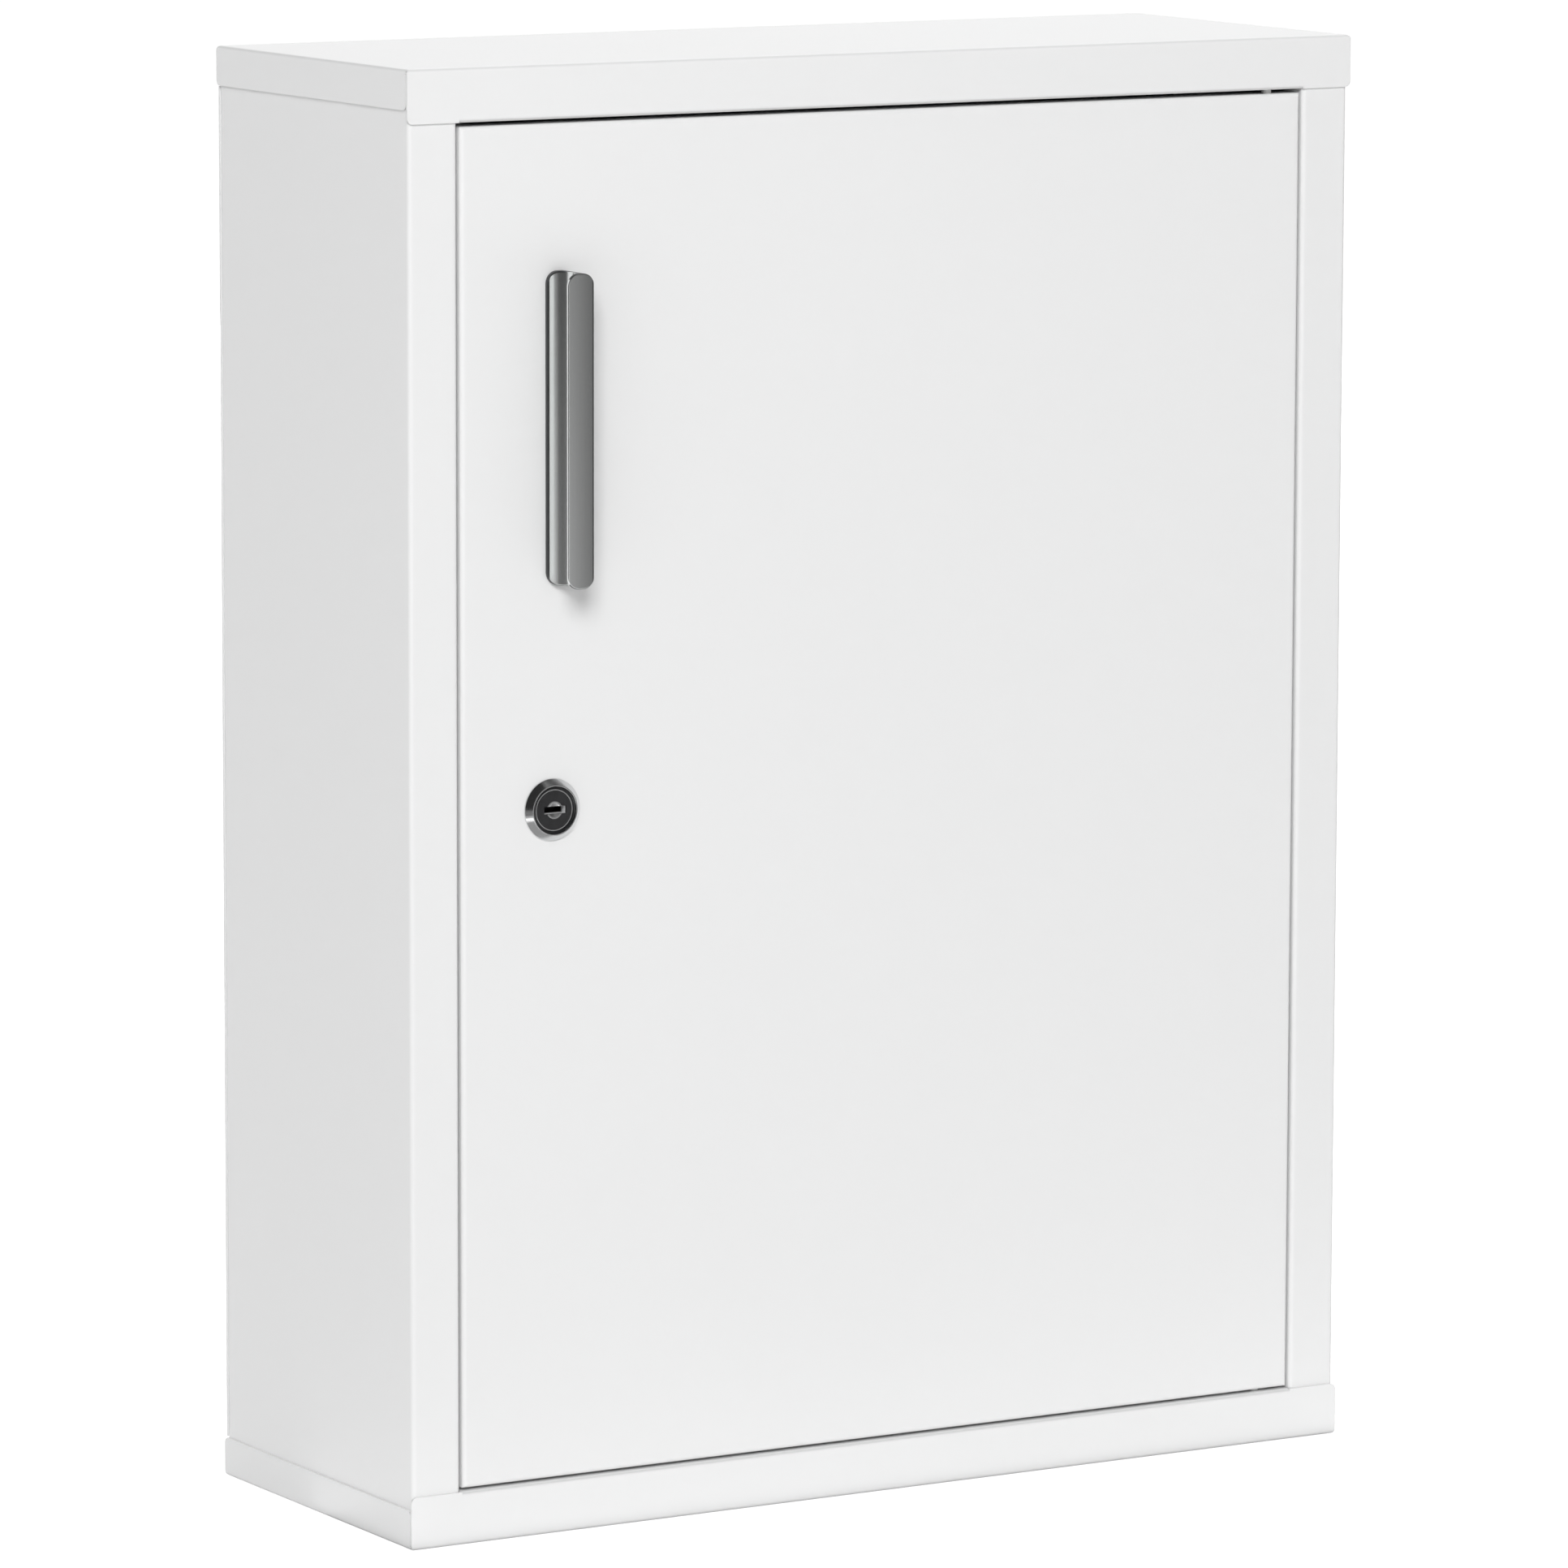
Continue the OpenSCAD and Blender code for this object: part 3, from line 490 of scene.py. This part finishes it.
# ---------------------------------------------------------------- lock face
# Moulded black acetal: the disc inlaid in the plug. The ring in the mouth of the lock gets the same
# near-black as painted shade for its deep recess.
moulding = Finish("black_moulding_and_ring_shade")
grain = moulding.noise(moulding.place, 2600.0, 2.0, 0.6)
sheen = moulding.noise(moulding.place, 240.0, 2.0, 0.5)
black_moulding_and_ring_shade = moulding.surface(
    Base_Color=moulding.between(sheen, (0.014, 0.014, 0.015, 1.0), (0.030, 0.030, 0.032, 1.0)),
    Roughness=0.34 + 0.16 * grain,
    Normal=moulding.raised(grain, 0.00002),
)
dress(black_moulding_and_ring_shade, "lock_ring", "plug_cap")

# ---------------------------------------------------------------- lock nut, cam and screws
# Pressed and turned steel with a bright zinc plating; they sit inside the door.
plated = Finish("bright_steel")
turning = plated.noise(plated.stretched((500.0, 3000.0, 500.0)), 1.0, 3.0, 0.6)
bright_steel = plated.surface(
    Base_Color=plated.between(turning, (0.62, 0.63, 0.64, 1.0), (0.74, 0.75, 0.76, 1.0)),
    Metallic=1.0,
    Roughness=0.22 + 0.16 * turning,
    Normal=plated.raised(turning, 0.000005),
)
dress(bright_steel, "handle_screws", "lock_nut", "lock_cam", "cam_washer", "cam_screw")

# ---------------------------------------------------------------- shelf strips, clips and hinge plates
# Galvanised strip with a spangle of zinc crystals, pierced and folded; the clips hook into its slots.
galvanised = Finish("zinc_plated_steel")
spangle = galvanised.node("ShaderNodeTexVoronoi", {"feature": "F1"},
                          {"Vector": galvanised.place, "Scale": 210.0}, "Color")
crystal = galvanised.node("ShaderNodeSeparateColor", {}, {"Color": spangle}, 0)
zinc = galvanised.surface(
    Base_Color=galvanised.between(crystal, (0.56, 0.575, 0.59, 1.0), (0.68, 0.69, 0.70, 1.0)),
    Metallic=1.0,
    Roughness=0.34 + 0.16 * crystal,
    Normal=galvanised.raised(crystal, 0.000004),
)
dress(zinc, "left_front_strip", "left_rear_strip", "right_front_strip", "right_rear_strip", "shelf_clips",
      "upper_hinge_plate", "lower_hinge_plate")

# ---------------------------------------------------------------- hinge pins
# Headed pins turned from steel and dull nickel plated; they stand in the jambs' holes.
pin = Finish("dull_nickel")
tooling = pin.noise(pin.stretched((900.0, 900.0, 4000.0)), 1.0, 3.0, 0.6)
dull_nickel = pin.surface(
    Base_Color=pin.between(tooling, (0.86, 0.86, 0.85, 1.0), (0.93, 0.93, 0.92, 1.0)),
    Metallic=0.55,
    Roughness=0.42 + 0.16 * tooling,
    Normal=pin.raised(tooling, 0.000004),
)
dress(dull_nickel, "upper_hinge_pin", "lower_hinge_pin")

# ---------------------------------------------------------------- hinge bushes
# Blind bushes of white nylon, moulded, which carry the door on the two pins.
nylon = Finish("white_nylon")
flow = nylon.noise(nylon.place, 400.0, 2.0, 0.5)
white_nylon = nylon.surface(
    Base_Color=nylon.between(flow, (0.84, 0.84, 0.82, 1.0), (0.89, 0.89, 0.87, 1.0)),
    Roughness=0.38 + 0.08 * flow,
    Normal=nylon.raised(flow, 0.00001),
)
dress(white_nylon, "upper_hinge_bush", "lower_hinge_bush")

# ---------------------------------------------------------------- door buffers
# Self-adhesive rubber pads on the stop, which take the slam of the door.
pad = Finish("black_rubber")
bloom = pad.noise(pad.place, 900.0, 3.0, 0.6)
black_rubber = pad.surface(
    Base_Color=pad.between(bloom, (0.018, 0.018, 0.018, 1.0), (0.04, 0.04, 0.04, 1.0)),
    Roughness=0.72 + 0.16 * bloom,
    Normal=pad.raised(bloom, 0.00002),
)
dress(black_rubber, "door_buffers")

# ---------------------------------------------------------------- studio
# A pale paper floor that keeps a soft shadow, a white surround and large soft lamps. Round the front
# stands a dark curtain with two bright strips, which only polished metal shows.
FLOOR_SIZE = 60.0
FLOOR_LIFT = 0.72
SURROUND = 0.38


def seen_or_mirrored(finish):
    """1 for camera, mirror and transmission rays, 0 for the rest."""
    camera_ray, mirror_ray, glass_ray = [
        finish.node("ShaderNodeLightPath", {}, {}, name)
        for name in ("Is Camera Ray", "Is Glossy Ray", "Is Transmission Ray")]
    return finish.maths("MAXIMUM", finish.maths("MAXIMUM", camera_ray, mirror_ray), glass_ray)


surround = Finish("surround", bpy.data.worlds.new("surround"))
bpy.context.scene.world = surround.material
air = surround.node("ShaderNodeBackground", {}, {
    "Color": (1.0, 1.0, 1.0, 1.0), "Strength": SURROUND + (1.0 - SURROUND) * seen_or_mirrored(surround)})
surround.node("ShaderNodeOutputWorld", {}, {"Surface": air})


def card(name, points, faces, finish):
    """A stage surface from an array of points and lists of corners."""
    mesh = bpy.data.meshes.new(name)
    mesh.from_pydata(points.tolist(), [], faces)
    mesh.materials.append(finish.material)
    piece = bpy.data.objects.new(name, mesh)
    bpy.context.scene.collection.objects.link(piece)
    return piece


paper = Finish("floor_paper")
matt = paper.node("ShaderNodeBsdfDiffuse", {}, {"Color": (0.82, 0.82, 0.82, 1.0)})
glow = paper.node("ShaderNodeEmission", {}, {"Strength": FLOOR_LIFT * seen_or_mirrored(paper)})
both = paper.node("ShaderNodeAddShader", {}, {0: matt, 1: glow})
paper.node("ShaderNodeOutputMaterial", {}, {"Surface": both})
corners = np.array([[-1.0, -1.0, 0.0], [1.0, -1.0, 0.0], [1.0, 1.0, 0.0], [-1.0, 1.0, 0.0]])
card("floor", corners * FLOOR_SIZE / 2.0, [[0, 1, 2, 3]], paper)


def soft_lamp(name, azimuth, elevation, distance, width, height, power):
    """An area lamp aimed at the middle of the cabinet, hidden from the camera and from mirror rays.
    Azimuth 0 is in front of the cabinet and 90 to its right."""
    lamp = bpy.data.lights.new(name, "AREA")
    lamp.shape = "RECTANGLE"
    lamp.size = width
    lamp.size_y = height
    lamp.energy = power
    holder = bpy.data.objects.new(name, lamp)
    turn, climb = radians(azimuth), radians(elevation)
    away = Vector((np.sin(turn) * np.cos(climb), -np.cos(turn) * np.cos(climb), np.sin(climb)))
    holder.location = Vector((0.0, 0.0, 0.3)) + away * distance
    holder.rotation_euler = away.to_track_quat("Z", "Y").to_euler()
    holder.visible_glossy = False
    holder.visible_camera = False
    bpy.context.scene.collection.objects.link(holder)
    return holder


soft_lamp("key_lamp", -32.0, 30.0, 5.0, 1.8, 1.8, 142.0)
soft_lamp("top_lamp", 105.0, 62.0, 2.6, 1.4, 1.4, 22.5)
soft_lamp("back_lamp", 160.0, 10.0, 5.0, 1.8, 1.8, 66.0)

# The brightly lit paper throws light up at the foot of the cabinet, in front and on the left
for side, centre_x, centre_y, width, depth, glow in (
        ("front", -0.02, -0.127, 0.62, 0.085, 0.25), ("left", -0.248, -0.060, 0.040, 0.13, 0.32)):
    bounce = soft_lamp("bounce_" + side, 0.0, 90.0, 1.0, width, depth, glow * pi * width * depth)
    bounce.location = Vector((centre_x, centre_y, 0.002))
    bounce.rotation_euler = Euler((pi, 0.0, 0.0))


def curtain(azimuths, profile):
    """A surface of revolution about the cabinet: each [radius, height] of the profile at each azimuth."""
    turn = np.radians(azimuths)
    radius, height = np.array(profile).T
    points = np.stack([np.outer(np.sin(turn), radius), np.outer(-np.cos(turn), radius),
                       np.tile(height, (len(turn), 1))], 2)
    row, column = np.meshgrid(np.arange(len(turn) - 1), np.arange(len(radius) - 1), indexing="ij")
    corner = row * len(radius) + column
    faces = np.stack([corner, corner + len(radius), corner + len(radius) + 1, corner + 1], 2)
    return points.reshape(-1, 3), faces.reshape(-1, 4).tolist()


def mirrored_card(name, finish, start, end, steps, profile):
    """A surface of revolution between two azimuths, which only mirror rays see."""
    piece = card(name, *curtain(np.linspace(start, end, steps), profile), finish)
    piece.visible_camera = False
    piece.visible_diffuse = False
    piece.visible_shadow = False
    piece.visible_transmission = False


def by_azimuth(finish, shades):
    """Glow that follows the azimuth about the cabinet, from [degrees, shade] stops."""
    across = finish.node("ShaderNodeSeparateXYZ", {}, {"Vector": finish.place}, "X")
    behind = finish.node("ShaderNodeSeparateXYZ", {}, {"Vector": finish.place}, "Y")
    share = finish.maths("ARCTAN2", across, -1.0 * behind) * (0.5 / pi) + 0.5
    stops = [(degrees / 360.0 + 0.5, shade) for degrees, shade in shades]
    tone = finish.node("ShaderNodeValToRGB", {"stops": stops}, {"Fac": share}, "Color")
    shine = finish.node("ShaderNodeEmission", {}, {"Color": tone})
    finish.node("ShaderNodeOutputMaterial", {}, {"Surface": shine})


# The curtain, the boards before it, far and near, the grey mat at the cabinet's foot and the strips
CURTAIN_RADIUS, CURTAIN_START, CURTAIN_END = 4.0, -112.0, 116.0
BOARDS_START, BOARDS_SPLIT, BOARDS_LEVEL = 0.82, 2.3, 0.004
MAT_LEVEL, STRIP_RADIUS, STRIP_GLOW = 0.0005, 3.8, 1.3

cloth = Finish("dark_curtain")
by_azimuth(cloth, [
    (-112.0, 0.06), (-60.0, 0.03), (-16.0, 0.035), (0.0, 0.18), (22.0, 0.20), (34.0, 0.12),
    (62.0, 0.08), (70.0, 0.10), (84.0, 0.28), (116.0, 0.30)])
climb = np.radians(np.linspace(0.0, 88.0, 30))
bowl = np.stack([CURTAIN_RADIUS * np.cos(climb), 0.02 + CURTAIN_RADIUS * np.sin(climb)], 1).tolist()
mirrored_card("dark_curtain", cloth, CURTAIN_START, CURTAIN_END, 90, bowl)

boards = Finish("dark_boards")
by_azimuth(boards, [
    (-112.0, 0.30), (-62.0, 0.20), (-38.0, 0.25), (-24.0, 0.75), (-8.0, 1.0), (4.0, 0.74),
    (17.0, 0.38), (26.0, 0.26), (35.0, 0.18), (60.0, 0.08), (116.0, 0.08)])
mirrored_card("dark_boards", boards, CURTAIN_START, CURTAIN_END, 90,
              [[BOARDS_SPLIT, BOARDS_LEVEL], [CURTAIN_RADIUS, 0.02]])

near_boards = Finish("near_boards")
by_azimuth(near_boards, [
    (-112.0, 0.30), (-62.0, 0.20), (-38.0, 0.25), (-8.0, 0.40), (17.0, 0.34), (26.0, 0.26),
    (35.0, 0.18), (60.0, 0.08), (116.0, 0.08)])
mirrored_card("near_boards", near_boards, CURTAIN_START, CURTAIN_END, 90,
              [[BOARDS_START, BOARDS_LEVEL], [BOARDS_SPLIT, BOARDS_LEVEL]])

felt = Finish("grey_mat")
by_azimuth(felt, [(-88.0, 0.34), (-50.0, 0.34), (-5.0, 0.46), (15.0, 0.25), (88.0, 0.20)])
mirrored_card("grey_mat", felt, -88.0, 88.0, 60, [[radius, MAT_LEVEL] for radius in (0.08, 0.30, 0.62)])

strip_light = Finish("bright_strips")
by_azimuth(strip_light, [(-20.0, STRIP_GLOW), (80.0, STRIP_GLOW)])
climb = np.radians(np.linspace(58.0, 74.0, 6))
band = np.stack([STRIP_RADIUS * np.cos(climb), 0.3 + STRIP_RADIUS * np.sin(climb)], 1).tolist()
for name, start in (("near", 37.0), ("far", 54.0)):
    mirrored_card("bright_strip_" + name, strip_light, start, start + 4.0, 8, band)
